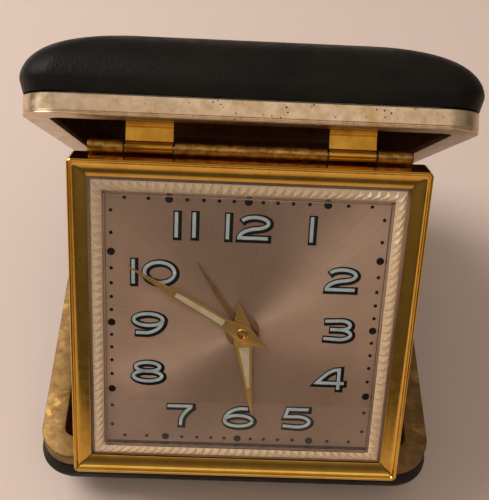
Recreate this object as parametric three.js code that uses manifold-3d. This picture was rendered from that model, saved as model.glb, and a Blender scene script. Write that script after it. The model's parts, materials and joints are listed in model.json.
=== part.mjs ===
// Folding travel clock: two leather-covered shells hinged at the rear, and a square clock
// hinged to the lid's front edge. Standing open, the clock's foot rests on the base's front rim.
// Millimetres, +Z up, origin at the centre of the base's underside, the dial facing -Y.
import * as THREE from 'three';
import { mergeVertices } from 'three/addons/utils/BufferGeometryUtils.js';
import Module from 'manifold-3d';

const wasm = await Module();
wasm.setup();

// Shells
const shellWidth = 77;
const shellDepth = 79.2;
const shellHeight = 15.5;
const rimHeight = 3.5;
const rimWall = 0.8;
const rimRound = 0.6;
const flangeWidth = 4.6;
const outerCorner = 6.6;
const leatherWall = 1.2;
const leatherBulge = 0.6;
const domeInset = 13;
const shoulderDrop = 2.5;
const cornerGrowth = 0.4;
const panWall = 0.8;
const liningWall = 0.8;
const gap = 0.3;

// Rear hinge
const rearPinRadius = 0.45;
const rearBore = rearPinRadius + gap;
const rearKnuckleRadius = rearBore + 0.5;
const rearSegment = 8;
const rearSegments = 5;
const leafThickness = 0.5;
const lidOpening = THREE.MathUtils.degToRad(50.55);

// Front hinge, between lid and clock
const frontPinDistance = 73.6;
const frontPinDrop = 4.2;
const frontPinRadius = 0.45;
const frontBore = frontPinRadius + gap;
const knuckleRadius = frontBore + 0.35;
const bracketInner = 13.1;
const bracketOuter = 21.1;
const bracketPlate = 0.6;
const knuckleEnd = 27.4;

// Clock frame, glass and dial
const frameSize = 61.2;
const frameLip = 2.4;
const frameRear = -2.6;
const frameCorner = 1.0;
const lipWidth = 0.6;
const wellHalf = 27.4;
const wellDepth = 1.1;
const seatHalf = 28.4;
const glassBorder = 0.7;
const glassHalf = seatHalf - gap;
const plateauHalf = 24.7;
const glassWall = 0.7;
const plateauTop = 2.2;
const dialHalf = 27.8;
const dialThickness = 0.4;
const handAxisY = -1.0;

// Movement case, plates and arbors
const canHalfWidth = 25.5;
const canHalfHeight = 25.0;
const canRear = -12.5;
const canWall = 0.6;
const canCorner = 2;
const plateThickness = 0.8;
const frontPlateZ = -3.6;
const rearPlateZ = -10.4;
const arbor = 0.6;
const wheelThickness = 0.4;
const toothDepth = 0.35;
const pivotRunIn = 0.2;
const cannonLevel = -2.5;
const minutePinionLevel = -1.8;
const hourLevel = -1.7;
const alarmLevel = -1.0;
const thinWheel = 0.3;

// Wheels: outer radius, teeth, and the level of the rear face
const wheels = {
  centre: { radius: 5.8, teeth: 34, z: -8.6 },
  third: { radius: 5.9, teeth: 34, z: -5.2 },
  fourth: { radius: 4.9, teeth: 30, z: -5.9 },
  escape: { radius: 3.4, teeth: 15, z: -7.0 },
  cannon: { radius: 1.8, teeth: 8, z: cannonLevel },
  minute: { radius: 3.3, teeth: 24, z: cannonLevel },
  minutePinion: { radius: 1.2, teeth: 8, z: minutePinionLevel },
  hour: { radius: 3.9, teeth: 32, z: hourLevel },
  timeSet: { radius: 1.5, teeth: 9, z: cannonLevel },
  alarm: { radius: 4.2, teeth: 27, z: alarmLevel },
  alarmSet: { radius: 2.8, teeth: 18, z: alarmLevel },
};

// Barrels, lever, balance and hammer
const barrelRadius = 8.3;
const barrelTeeth = 44;
const barrelRear = -8.9;
const barrelFront = -5.7;
const leverLevel = -7.9;
const leverWidth = 0.9;
const forkReach = [-4.6, -3.1];
const palletReach = [0.4, 2.6];
const balanceRadius = 7.2;
const balanceRimWidth = 0.9;
const balanceRear = -7.4;
const balanceFront = -6.6;
const hairspringTurns = 3;
const hairspringStart = 1.2;
const hairspringGrowth = 3.2;
const hairspringLevel = -8.8;
const hammerArm = [1.5, 9];
const hammerLevel = -8.0;
const hammerHead = 1.4;

// Fittings on the back
const barrelArborRadius = 1.0;
const keyBoss = 2.2;
const keyDepth = 3.0;
const keyWing = 1.9;
const keyReach = 12.9;
const knobRadius = 3.0;
const knobDepth = 2.4;
const knobTeeth = 14;
const stopStem = 1.0;
const stopHead = 1.9;
const regulatorStem = 0.8;
const regulatorHead = 1.6;
const regulatorReach = [-5, 2.5];
const screwStem = 0.8;
const screwHead = 1.6;
const screwHeadDepth = 0.7;

const minuteAngle = THREE.MathUtils.degToRad(149);
const hourAngle = THREE.MathUtils.degToRad(-82);
const alarmAngle = THREE.MathUtils.degToRad(123);

// Catch
const buttonWidth = 9;
const buttonHeight = 1.4;
const buttonDrop = 2.0;
const buttonProud = 1.0;
const hookWidth = 8;
const hookRise = 1.9;
const hookInset = 4.9;

const finish = {
  leather: { color: 0x15120f, roughness: 0.55, metalness: 0 },
  rimMetal: { color: 0xb09a7c, roughness: 0.38, metalness: 1 },
  steel: { color: 0x9a9ba0, roughness: 0.4, metalness: 1 },
  lining: { color: 0x2c1610, roughness: 0.7, metalness: 0 },
  gilt: { color: 0xd0a13a, roughness: 0.18, metalness: 1 },
  agedBrass: { color: 0x7c6233, roughness: 0.45, metalness: 1 },
  brass: { color: 0xc09a4a, roughness: 0.3, metalness: 1 },
  acrylic: { color: 0xe8e2dc, roughness: 0.05, metalness: 0 },
  dialMetal: { color: 0xa58f86, roughness: 0.35, metalness: 0.8 },
};

// Solids and booleans
function toSolid(geometry) {
  const bare = geometry.clone();
  bare.deleteAttribute('normal');
  bare.deleteAttribute('uv');
  const merged = mergeVertices(bare, 1e-5);
  const vertProperties = Float32Array.from(merged.attributes.position.array);
  const triVerts = Uint32Array.from(merged.index.array);
  return new wasm.Manifold(new wasm.Mesh({ numProp: 3, vertProperties, triVerts }));
}

function toGeometry(solid) {
  const mesh = solid.getMesh();
  const geometry = new THREE.BufferGeometry();
  geometry.setAttribute('position', new THREE.BufferAttribute(mesh.vertProperties, 3));
  geometry.setIndex(new THREE.BufferAttribute(mesh.triVerts, 1));
  geometry.computeVertexNormals();
  return geometry;
}

function join(first, ...others) {
  return others.reduce((whole, piece) => whole.add(piece), first);
}

function cut(first, ...tools) {
  return tools.reduce((whole, tool) => whole.subtract(tool), first);
}

function box(x0, x1, y0, y1, z0, z1) {
  const geometry = new THREE.BoxGeometry(x1 - x0, y1 - y0, z1 - z0);
  geometry.translate((x0 + x1) / 2, (y0 + y1) / 2, (z0 + z1) / 2);
  return toSolid(geometry);
}

function disc(radius, z0, z1, x = 0, y = 0, sides = 16) {
  const geometry = new THREE.CylinderGeometry(radius, radius, z1 - z0, sides);
  geometry.rotateX(Math.PI / 2);
  geometry.translate(x, y, (z0 + z1) / 2);
  return toSolid(geometry);
}

function pipe(outer, inner, z0, z1, x = 0, y = 0, sides = 16) {
  return cut(disc(outer, z0, z1, x, y, sides), disc(inner, z0 - 1, z1 + 1, x, y, sides));
}

function rod(radius, x0, x1, y, z, sides = 16) {
  const geometry = new THREE.CylinderGeometry(radius, radius, x1 - x0, sides);
  geometry.rotateZ(Math.PI / 2);
  geometry.translate((x0 + x1) / 2, y, z);
  return toSolid(geometry);
}

function bar(x0, y0, x1, y1, width, z0, z1) {
  const length = Math.hypot(x1 - x0, y1 - y0);
  const geometry = new THREE.BoxGeometry(length, width, z1 - z0);
  geometry.rotateZ(Math.atan2(y1 - y0, x1 - x0));
  geometry.translate((x0 + x1) / 2, (y0 + y1) / 2, (z0 + z1) / 2);
  return toSolid(geometry);
}

function plateFrom(points, z0, z1) {
  const shape = new THREE.Shape(points.map(([x, y]) => new THREE.Vector2(x, y)));
  const geometry = new THREE.ExtrudeGeometry(shape, { depth: z1 - z0, bevelEnabled: false });
  geometry.translate(0, 0, z0);
  return toSolid(geometry);
}

function gear({ radius, teeth, z }, thickness, x, y) {
  const points = [];
  for (let i = 0; i < teeth * 2; i += 1) {
    const angle = (i / (teeth * 2)) * 2 * Math.PI;
    const reach = i % 2 < 1 ? radius : radius - toothDepth;
    points.push([x + reach * Math.cos(angle), y + reach * Math.sin(angle)]);
  }
  return plateFrom(points, z, z + thickness);
}

function spokedWheel(wheel, x, y) {
  const { radius, z } = wheel;
  const rim = gear(wheel, wheelThickness, x, y);
  const openings = [0, 1, 2].map((i) => {
    const angle = (i * 2 * Math.PI) / 3;
    const reach = radius * 0.55;
    const hole = [x + reach * Math.cos(angle), y + reach * Math.sin(angle)];
    return disc(radius * 0.26, z - 1, z + wheelThickness + 1, hole[0], hole[1], 10);
  });
  return cut(rim, ...openings);
}

// A ring of points round a rectangle with round corners, at one height
function roundedRing(halfX, yFront, yRear, radius, z) {
  const steps = 4;
  const corners = [[halfX, yRear], [-halfX, yRear], [-halfX, yFront], [halfX, yFront]];
  return corners.flatMap(([x, y], corner) => {
    const centreX = x - Math.sign(x) * radius;
    const centreY = y + (corner < 2 ? -radius : radius);
    return Array.from({ length: steps + 1 }, (_, i) => {
      const angle = ((corner + i / steps) * Math.PI) / 2;
      return [centreX + radius * Math.cos(angle), centreY + radius * Math.sin(angle), z];
    });
  });
}

// A closed body through a row of rings: capped at both ends, or joined end to start
function loft(rings, endless) {
  const count = rings[0].length;
  const positions = rings.flat(2);
  const index = [];
  const last = endless ? rings.length : rings.length - 1;
  for (let k = 0; k < last; k += 1) {
    const low = k * count;
    const high = ((k + 1) % rings.length) * count;
    for (let i = 0; i < count; i += 1) {
      const next = (i + 1) % count;
      index.push(low + i, low + next, high + next, low + i, high + next, high + i);
    }
  }
  if (!endless) {
    const top = (rings.length - 1) * count;
    for (let i = 1; i < count - 1; i += 1) {
      index.push(0, i + 1, i, top, top + i, top + i + 1);
    }
  }
  const geometry = new THREE.BufferGeometry();
  geometry.setAttribute('position', new THREE.Float32BufferAttribute(positions, 3));
  geometry.setIndex(index);
  if (enclosedVolume(positions, index) < 0) {
    geometry.setIndex(index.reverse());
  }
  return toSolid(geometry);
}

function enclosedVolume(positions, index) {
  const corner = (i) => new THREE.Vector3(...positions.slice(index[i] * 3, index[i] * 3 + 3));
  let sum = 0;
  for (let i = 0; i < index.length; i += 3) {
    sum += corner(i).dot(corner(i + 1).cross(corner(i + 2)));
  }
  return sum;
}

// Shells: local z is 0 on the rim plane, and the rear face is at y = 0
function shellRing(inset, z, growth = -1) {
  const radius = outerCorner + growth * inset;
  return roundedRing(shellWidth / 2 - inset, -shellDepth + inset, -inset, radius, z);
}

// Outline of a dished wall, a depth inside the leather's face: straight down, then a quarter ellipse
function domeRings(depth, topZ, steps) {
  const shoulder = -rimHeight - shoulderDrop;
  const rise = shellHeight + shoulder - depth;
  const rings = topZ > coverTop ? [shellRing(depth, topZ, 0)] : [];
  rings.push(shellRing(depth, coverTop, 0));
  for (let i = 0; i <= steps; i += 1) {
    const angle = (i / steps) * (Math.PI / 2);
    const inset = domeInset - leatherBulge - (domeInset - depth) * Math.cos(angle);
    rings.push(shellRing(inset, shoulder - rise * Math.sin(angle), Math.min(i, 1) * cornerGrowth));
  }
  return rings;
}

function dish(depth, wall, topZ, steps) {
  return loft([...domeRings(depth, topZ, steps).reverse(), ...domeRings(depth + wall, topZ, steps)], false);
}

function rimSolid() {
  return loft([
    shellRing(0, -rimHeight),
    shellRing(0, -rimRound),
    shellRing(rimRound * 0.3, -rimRound * 0.3),
    shellRing(rimRound, 0),
    shellRing(flangeWidth, 0),
    shellRing(flangeWidth, -rimWall),
    shellRing(rimWall, -rimWall),
    shellRing(rimWall, -rimHeight),
  ], true);
}

const panDepth = leatherWall + gap;
const liningDepth = panDepth + panWall + gap;
const liningInner = liningDepth + liningWall;
const underFlange = -rimWall - gap;
const coverTop = -rimHeight - gap;

const coverSolid = dish(0, leatherWall, coverTop, 6);
const panSolid = dish(panDepth, panWall, underFlange, 4);
const liningSolid = dish(liningDepth, liningWall, underFlange, 4);

// Rear hinge: the leaves sit outside the rear rim and share one pin on the rim plane
const rearAxisY = gap + rearKnuckleRadius;
const rearHingeHalf = (rearSegment * rearSegments) / 2;

function rearLeaf(owned) {
  const low = -rimHeight + 0.2;
  const shy = -rearKnuckleRadius - gap - 0.05;
  let leaf = box(-rearHingeHalf, rearHingeHalf, gap, gap + leafThickness, low, shy);
  for (let i = 0; i < rearSegments; i += 1) {
    if (i % 2 === owned) {
      const start = -rearHingeHalf + i * rearSegment + (i > 0 ? gap / 2 : 0);
      const end = -rearHingeHalf + (i + 1) * rearSegment - (i < rearSegments - 1 ? gap / 2 : 0);
      const web = box(start, end, gap, gap + leafThickness, shy - 0.2, 0);
      leaf = join(leaf, web, rod(rearKnuckleRadius, start, end, rearAxisY, 0));
    }
  }
  return cut(leaf, rod(rearBore, -rearHingeHalf - 1, rearHingeHalf + 1, rearAxisY, 0));
}

// Catch: a push button through the front rim, with a hook that holds the lid's flange
function catchSlot() {
  const half = buttonWidth / 2 + gap;
  const low = -buttonDrop - buttonHeight / 2 - gap;
  const high = -buttonDrop + buttonHeight / 2 + gap;
  return box(-half, half, -shellDepth - 2, -shellDepth + liningInner + 0.9, low, high);
}

function buttonSolid() {
  const low = -buttonDrop - buttonHeight / 2;
  const high = -buttonDrop + buttonHeight / 2;
  const half = buttonWidth / 2;
  const face = -shellDepth - buttonProud;
  const inner = -shellDepth + hookInset - gap;
  return box(-half, half, face, inner, low, high);
}

function hookSolid() {
  const half = hookWidth / 2;
  const front = -shellDepth + hookInset;
  const stem = box(-half, half, front, front + 0.6, -buttonDrop - buttonHeight / 2, hookRise);
  const nose = box(-half, half, front - 0.7, front + 0.1, hookRise - 0.6, hookRise);
  return join(stem, nose);
}

function springSolid() {
  const middle = -shellDepth + hookInset + 0.6 + gap;
  const ends = -shellDepth + liningInner + gap;
  const low = -buttonDrop - 0.6;
  const high = -buttonDrop + 0.6;
  const flat = box(-5, 5, middle, middle + 0.25, low, high);
  const legs = [-1, 1].map((side) => {
    return bar(side * 4.9, middle + 0.125, side * 11, ends + 0.125, 0.25, low, high);
  });
  return join(flat, ...legs);
}

// Lid brackets that hold the clock's hinge pin
function bracketSolid(side) {
  const x0 = side > 0 ? bracketInner : -bracketOuter;
  const x1 = side > 0 ? bracketOuter : -bracketInner;
  const openingEdge = -shellDepth + flangeWidth;
  const plateFront = openingEdge + gap;
  const footZ = underFlange;
  const plate = box(x0, x1, plateFront, plateFront + bracketPlate, footZ - 0.6, frontPinDrop);
  const foot = box(x0, x1, plateFront - 1.2, plateFront + 0.1, footZ - 0.6, footZ);
  const curl = rod(knuckleRadius, x0, x1, -frontPinDistance, frontPinDrop);
  const bore = rod(frontBore, x0 - 1, x1 + 1, -frontPinDistance, frontPinDrop);
  return cut(join(plate, foot, curl), bore);
}

// Clock: local z is 0 on the dial's face, +z towards the viewer, y up the dial
const frameHalf = frameSize / 2;
const pinHeight = frameHalf + gap + knuckleRadius;
const pinZ = -1.2;

function squareRing(half, z, radius = 0.4) {
  return roundedRing(half, -half, half, radius, z);
}

function bezelSolid() {
  const wellTop = frameLip - wellDepth;
  const seatTop = gap + glassBorder + gap;
  return loft([
    squareRing(frameHalf, frameRear, frameCorner),
    squareRing(frameHalf, frameLip - 0.2, frameCorner),
    squareRing(frameHalf - 0.2, frameLip, frameCorner),
    squareRing(frameHalf - lipWidth, frameLip, frameCorner),
    squareRing(frameHalf - lipWidth - 0.6, frameLip - 0.5, 0.8),
    squareRing(wellHalf + 1.0, wellTop + 0.35, 0.6),
    squareRing(wellHalf, wellTop + 0.2, 0.5),
    squareRing(wellHalf, seatTop, 0.5),
    squareRing(seatHalf, seatTop, 0.5),
    squareRing(seatHalf, frameRear, 0.5),
  ], true);
}

function glassSolid() {
  const inner = plateauHalf - 1.0;
  return loft([
    squareRing(inner, plateauTop - glassWall),
    squareRing(inner, gap),
    squareRing(glassHalf, gap),
    squareRing(glassHalf, gap + glassBorder),
    squareRing(plateauHalf, gap + glassBorder, 1.2),
    squareRing(plateauHalf - 0.4, plateauTop - 0.2, 1.0),
    squareRing(plateauHalf - 0.7, plateauTop, 0.8),
  ], false);
}

// The clock's own leaf: three knuckles on the pin, and a strip behind the frame's top
function clockLeaf() {
  const strip = frameRear - gap - leafThickness;
  const shelfLow = frameHalf + gap;
  const shelfHigh = shelfLow + leafThickness;
  const back = box(-knuckleEnd, knuckleEnd, canHalfHeight + 2 * gap, shelfHigh, strip, strip + leafThickness);
  const spans = [
    [-knuckleEnd, -bracketOuter - gap],
    [-bracketInner + gap, bracketInner - gap],
    [bracketOuter + gap, knuckleEnd],
  ];
  let leaf = back;
  for (const [x0, x1] of spans) {
    const shelf = box(x0, x1, shelfLow, shelfHigh, strip, pinZ);
    leaf = join(leaf, shelf, rod(knuckleRadius, x0, x1, pinHeight, pinZ));
  }
  return cut(leaf, rod(frontBore, -knuckleEnd - 1, knuckleEnd + 1, pinHeight, pinZ));
}

// Arbor places, seen from the front
const pivot = [0, handAxisY];
const goingBarrel = [-12.5, handAxisY - 7.5];
const alarmBarrel = [12.5, handAxisY - 7.5];
const thirdAt = [0, handAxisY + 8.5];
const fourthAt = [8.5, handAxisY + 12.5];
const escapeAt = [1.5, handAxisY + 19];
const leverAt = [-4.5, handAxisY + 18];
const balanceAt = [-12, handAxisY + 13];
const minuteWheelAt = [0, handAxisY - 5.4];
const timeSetAt = [0, handAxisY - 10.5];
const alarmSetAt = [6.5, handAxisY + 3.6];
const hammerAt = [18.5, handAxisY + 4];
const stopAt = [17, handAxisY + 13];
const regulatorAt = balanceAt;
const pillarAt = [[-21, -20.5], [21, -20.5], [-21, 20.5], [21, 20.5]];
const backScrewAt = [[-21, 0], [21, 0]];

const frontPlateTop = frontPlateZ + plateThickness;
const rearPlateTop = rearPlateZ + plateThickness;
const centreArbor = 0.5;
const minuteStud = 0.5;
const cannonBore = centreArbor + gap;
const cannonOuter = cannonBore + 0.3;
const hourBore = cannonOuter + gap;
const hourOuter = hourBore + 0.4;
const alarmBore = hourOuter + gap;
const alarmOuter = alarmBore + 0.4;
const dialHole = alarmOuter + 0.4;
const handThickness = 0.15;
const alarmHandZ = 0.2;
const hourHandZ = 0.6;
const minuteHandZ = 1.0;
const backZ = canRear - gap;

function hole(at, radius, z0, z1) {
  return disc(radius, z0, z1, at[0], at[1], 12);
}

function movementPlate(z, holes) {
  const side = canHalfWidth - canWall - 0.4;
  const height = canHalfHeight - canWall - 0.4;
  const outline = (level) => roundedRing(side, -height, height, canCorner, level);
  const sheet = loft([outline(z), outline(z + plateThickness)], false);
  return cut(sheet, ...holes.map(([at, radius]) => hole(at, radius + gap, z - 1, z + plateThickness + 1)));
}

function canSolid() {
  const flange = frameRear + 0.4;
  const flangeTop = flange + 0.5;
  const flangeGrowth = seatHalf - gap - canHalfWidth - 0.1;
  const outer = (growth, z) => {
    const height = canHalfHeight + growth;
    return roundedRing(canHalfWidth + growth, -height, height, canCorner, z);
  };
  const body = loft([
    outer(-canWall, canRear + canWall),
    outer(-canWall, flangeTop),
    outer(flangeGrowth, flangeTop),
    outer(flangeGrowth, flange),
    outer(0, flange),
    outer(0, canRear + 1),
    outer(-0.4, canRear + 0.3),
    outer(-1.2, canRear),
  ], false);
  const through = (at, radius) => hole(at, radius + gap, canRear - 1, canRear + 2);
  const keys = [goingBarrel, alarmBarrel].map((at) => through(at, barrelArborRadius));
  const knobs = [timeSetAt, alarmSetAt].map((at) => through(at, arbor));
  const screws = backScrewAt.map((at) => through(at, screwStem));
  const stop = through(stopAt, stopStem);
  return cut(body, ...keys, ...knobs, ...screws, stop, through(regulatorAt, regulatorStem));
}

function dialSolid() {
  const sheet = box(-dialHalf, dialHalf, -dialHalf, dialHalf, -dialThickness, 0);
  const feet = [-1, 1].map((side) => disc(0.5, frontPlateTop + gap, -0.2, side * 20, -14, 10));
  return join(cut(sheet, hole(pivot, dialHole, -2, 2)), ...feet);
}

// Hands, drawn pointing along +X from the pivot, then turned
function turned(solid, angle) {
  const radians = THREE.MathUtils.radToDeg(angle);
  return solid.rotate([0, 0, radians]).translate([pivot[0], pivot[1], 0]);
}

function minuteHandSolid() {
  const top = minuteHandZ + handThickness;
  const outline = [[24.1, 0], [17, 0.75], [4.2, 0.95], [1.2, 1.5], [-1.4, 1.1], [-5.6, 1.0], [-6.4, 0],
    [-5.6, -1.0], [-1.4, -1.1], [1.2, -1.5], [4.2, -0.95], [17, -0.75]];
  const blade = plateFrom(outline, minuteHandZ, top);
  return turned(join(blade, disc(1.5, minuteHandZ, top), disc(1.0, minuteHandZ, top + 0.2)), minuteAngle);
}

function hourHandSolid() {
  const top = hourHandZ + handThickness;
  const outline = [[16.6, 0], [11.5, 1.25], [3.4, 1.3], [0, 2.1], [-5.4, 1.1], [-5.4, -1.1], [0, -2.1],
    [3.4, -1.3], [11.5, -1.25]];
  const blade = plateFrom(outline, hourHandZ, top);
  const bore = disc(hourBore, hourHandZ - 1, top + 1);
  return turned(cut(join(blade, disc(2.3, hourHandZ, top)), bore), hourAngle);
}

function alarmHandSolid() {
  const top = alarmHandZ + handThickness;
  const outline = [[15.6, 0], [13.6, 0.35], [2, 0.35], [2, -0.35], [13.6, -0.35]];
  const blade = join(plateFrom(outline, alarmHandZ, top), disc(3.2, alarmHandZ, top));
  return turned(cut(blade, disc(alarmBore, alarmHandZ - 1, top + 1)), alarmAngle);
}

// Motion work, in front of the front plate
function cannonPinion() {
  const tube = pipe(cannonOuter, cannonBore, cannonLevel, minuteHandZ - gap, ...pivot);
  const leaves = gear(wheels.cannon, 0.5, ...pivot);
  return join(tube, cut(leaves, hole(pivot, cannonBore, cannonLevel - 1, 0)));
}

function hourWheel() {
  const tube = pipe(hourOuter, hourBore, hourLevel, hourHandZ - 0.2, ...pivot);
  const wheel = gear(wheels.hour, wheelThickness, ...pivot);
  return join(tube, cut(wheel, hole(pivot, hourBore, hourLevel - 1, 0)));
}

function alarmWheel() {
  const tube = pipe(alarmOuter, alarmBore, alarmLevel, 0, ...pivot);
  const wheel = gear(wheels.alarm, thinWheel, ...pivot);
  return join(tube, cut(wheel, hole(pivot, alarmBore, alarmLevel - 1, 1)));
}

function minuteWheel() {
  const top = minutePinionLevel + 0.6;
  const stud = disc(minuteStud, frontPlateZ + pivotRunIn, top, ...minuteWheelAt, 12);
  const wheel = gear(wheels.minute, wheelThickness, ...minuteWheelAt);
  return join(wheel, gear(wheels.minutePinion, 0.6, ...minuteWheelAt), stud);
}

// Going train, between the plates
function centreWheel() {
  const shaft = disc(centreArbor, rearPlateZ + pivotRunIn, minuteHandZ - gap, ...pivot, 14);
  return join(shaft, spokedWheel(wheels.centre, ...pivot));
}

function plainArbor(at) {
  return disc(arbor, rearPlateZ + pivotRunIn, frontPlateTop - pivotRunIn, ...at, 12);
}

function trainWheel(at, wheel) {
  return join(plainArbor(at), spokedWheel(wheel, ...at));
}

function leverSolid() {
  const [x, y] = leverAt;
  const top = leverLevel + wheelThickness;
  const fork = bar(x, y, x + forkReach[0], y + forkReach[1], leverWidth, leverLevel, top);
  const [along, across] = palletReach;
  const arms = bar(x - along, y - across, x + along, y + across, leverWidth - 0.1, leverLevel, top);
  return join(plainArbor(leverAt), fork, arms);
}

function balanceSolid() {
  const [x, y] = balanceAt;
  const inner = balanceRadius - balanceRimWidth;
  const rim = pipe(balanceRadius, inner, balanceRear, balanceFront, x, y, 28);
  const spoke = inner + 0.3;
  const arm = bar(x - spoke, y, x + spoke, y, 0.9, balanceRear + 0.2, balanceFront - 0.2);
  return join(plainArbor(balanceAt), rim, arm);
}

function hairspringSolid() {
  const steps = 42;
  const halfWidth = 0.12;
  const side = (offset) => Array.from({ length: steps + 1 }, (_, i) => {
    const angle = (i / steps) * hairspringTurns * 2 * Math.PI;
    const reach = hairspringStart + (i / steps) * hairspringGrowth + offset;
    return [balanceAt[0] + reach * Math.cos(angle), balanceAt[1] + reach * Math.sin(angle)];
  });
  const outline = [...side(-halfWidth), ...side(halfWidth).reverse()];
  return plateFrom(outline, hairspringLevel, hairspringLevel + 0.4);
}

function barrelSolid(at) {
  const drum = disc(barrelRadius, barrelRear, barrelFront, ...at, 32);
  const rim = { radius: barrelRadius + 0.4, teeth: barrelTeeth, z: barrelFront - wheelThickness };
  const body = join(drum, gear(rim, wheelThickness, ...at));
  return cut(body, hole(at, barrelArborRadius + gap, barrelRear - 1, barrelFront + 1));
}

function barrelArbor(at) {
  return disc(barrelArborRadius, backZ - 1.0, frontPlateTop - pivotRunIn, ...at, 16);
}

// Fittings on the back
function windingKey(at) {
  const [x, y] = at;
  const half = keyReach / 2;
  const boss = disc(keyBoss, backZ - keyDepth, backZ, x, y, 18);
  const socket = hole(at, barrelArborRadius + gap, backZ - 1.6, backZ + 1);
  const wing = box(x - half, x + half, y - 0.5, y + 0.5, backZ - keyDepth - 0.6, backZ - 0.8);
  const ends = [-1, 1].map((side) => rodAcross(x + side * (half - 1.6), y, backZ - 2.2));
  return cut(join(boss, wing, ...ends), socket);
}

function rodAcross(x, y, z) {
  const geometry = new THREE.CylinderGeometry(keyWing, keyWing, 1.3, 16);
  geometry.translate(x, y, z);
  return toSolid(geometry);
}

function setKnob(at) {
  const rim = { radius: knobRadius, teeth: knobTeeth, z: backZ - knobDepth };
  return cut(gear(rim, knobDepth, ...at), hole(at, arbor + gap, backZ - 1.4, backZ + 1));
}

function setArbor(at, wheel, thickness, top) {
  const shaft = disc(arbor, backZ - 1.1, top, ...at, 12);
  return join(shaft, gear(wheel, thickness, ...at));
}

function hammerSolid() {
  const [x, y] = hammerAt;
  const [across, along] = hammerArm;
  const arm = bar(x, y, x + across, y + along, 0.8, hammerLevel, hammerLevel + 0.6);
  const head = disc(hammerHead, hammerLevel - 0.4, hammerLevel + 1.4, x + across, y + along + 1, 14);
  return join(plainArbor(hammerAt), arm, head);
}

function alarmStop() {
  const stem = disc(stopStem, canRear - 0.5, rearPlateZ - gap, ...stopAt, 14);
  return join(stem, disc(stopHead, backZ - 2.2, backZ, ...stopAt, 18));
}

function regulatorSolid() {
  const [x, y] = regulatorAt;
  const rear = backZ - 0.5;
  const stem = disc(regulatorStem, canRear - 0.6, rearPlateZ - gap, x, y, 14);
  const lever = bar(x, y, x + regulatorReach[0], y + regulatorReach[1], 1.1, rear, backZ);
  return join(stem, disc(regulatorHead, rear, backZ, x, y, 18), lever);
}

function backScrew([x, y]) {
  const face = backZ - screwHeadDepth;
  const head = disc(screwHead, face, backZ, x, y, 18);
  const groove = box(x - 2, x + 2, y - 0.2, y + 0.2, face - 0.1, face + 0.3);
  return cut(join(head, disc(screwStem, backZ - 0.1, rearPlateZ - gap, x, y, 12)), groove);
}

function pillar([x, y]) {
  return disc(1.5, rearPlateTop + gap, frontPlateZ - gap, x, y, 14);
}

const spanPlates = [
  [pivot, centreArbor], [thirdAt, arbor], [fourthAt, arbor], [escapeAt, arbor], [leverAt, arbor],
  [balanceAt, arbor], [goingBarrel, barrelArborRadius], [alarmBarrel, barrelArborRadius],
  [timeSetAt, arbor], [alarmSetAt, arbor], [hammerAt, arbor],
];

// Assembly
const clockModel = new THREE.Group();
const lidTurn = new THREE.Group();
const lid = new THREE.Group();
const base = new THREE.Group();
const clock = new THREE.Group();

function add(group, name, solid, look) {
  const mesh = new THREE.Mesh(toGeometry(solid), new THREE.MeshStandardMaterial(finish[look]));
  mesh.name = name;
  group.add(mesh);
}

base.position.set(0, shellDepth / 2, shellHeight);
add(base, 'base_leather_cover', coverSolid, 'leather');
add(base, 'base_pan', cut(panSolid, catchSlot()), 'steel');
add(base, 'base_lining', cut(liningSolid, catchSlot()), 'lining');
add(base, 'base_rim', cut(rimSolid(), catchSlot()), 'rimMetal');
add(base, 'base_hinge_leaf', rearLeaf(0), 'agedBrass');
add(base, 'rear_hinge_pin', rod(rearPinRadius, -rearHingeHalf, rearHingeHalf, rearAxisY, 0), 'steel');
add(base, 'catch_button', buttonSolid(), 'gilt');
add(base, 'catch_hook', hookSolid(), 'steel');
add(base, 'catch_spring', springSolid(), 'steel');

lidTurn.position.set(0, base.position.y + rearAxisY, shellHeight);
lidTurn.rotation.x = -lidOpening;
lid.rotation.y = Math.PI;
lid.position.y = -rearAxisY;
lidTurn.add(lid);
add(lid, 'lid_leather_cover', coverSolid, 'leather');
add(lid, 'lid_pan', panSolid, 'steel');
add(lid, 'lid_lining', liningSolid, 'lining');
add(lid, 'lid_rim', rimSolid(), 'rimMetal');
add(lid, 'lid_hinge_leaf', rearLeaf(1), 'agedBrass');
add(lid, 'left_bracket', bracketSolid(1), 'gilt');
add(lid, 'right_bracket', bracketSolid(-1), 'gilt');

// The pin's place follows the lid, and the clock leans until its foot meets the front rim
const pinReach = frontPinDistance + rearAxisY;
const pinY = lidTurn.position.y - pinReach * Math.cos(lidOpening) - frontPinDrop * Math.sin(lidOpening);
const pinWorldZ = shellHeight + pinReach * Math.sin(lidOpening) - frontPinDrop * Math.cos(lidOpening);
const footReach = pinHeight + frameHalf;
const footBack = pinZ - frameRear;
const footZ = shellHeight + gap;
const slant = Math.asin((pinWorldZ - footZ) / Math.hypot(footReach, footBack));
const lean = slant - Math.atan2(footBack, footReach);
clock.rotation.x = lean;
clock.position.set(
  0,
  pinY - pinHeight * Math.cos(lean) + pinZ * Math.sin(lean),
  pinWorldZ - pinHeight * Math.sin(lean) - pinZ * Math.cos(lean),
);

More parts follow.
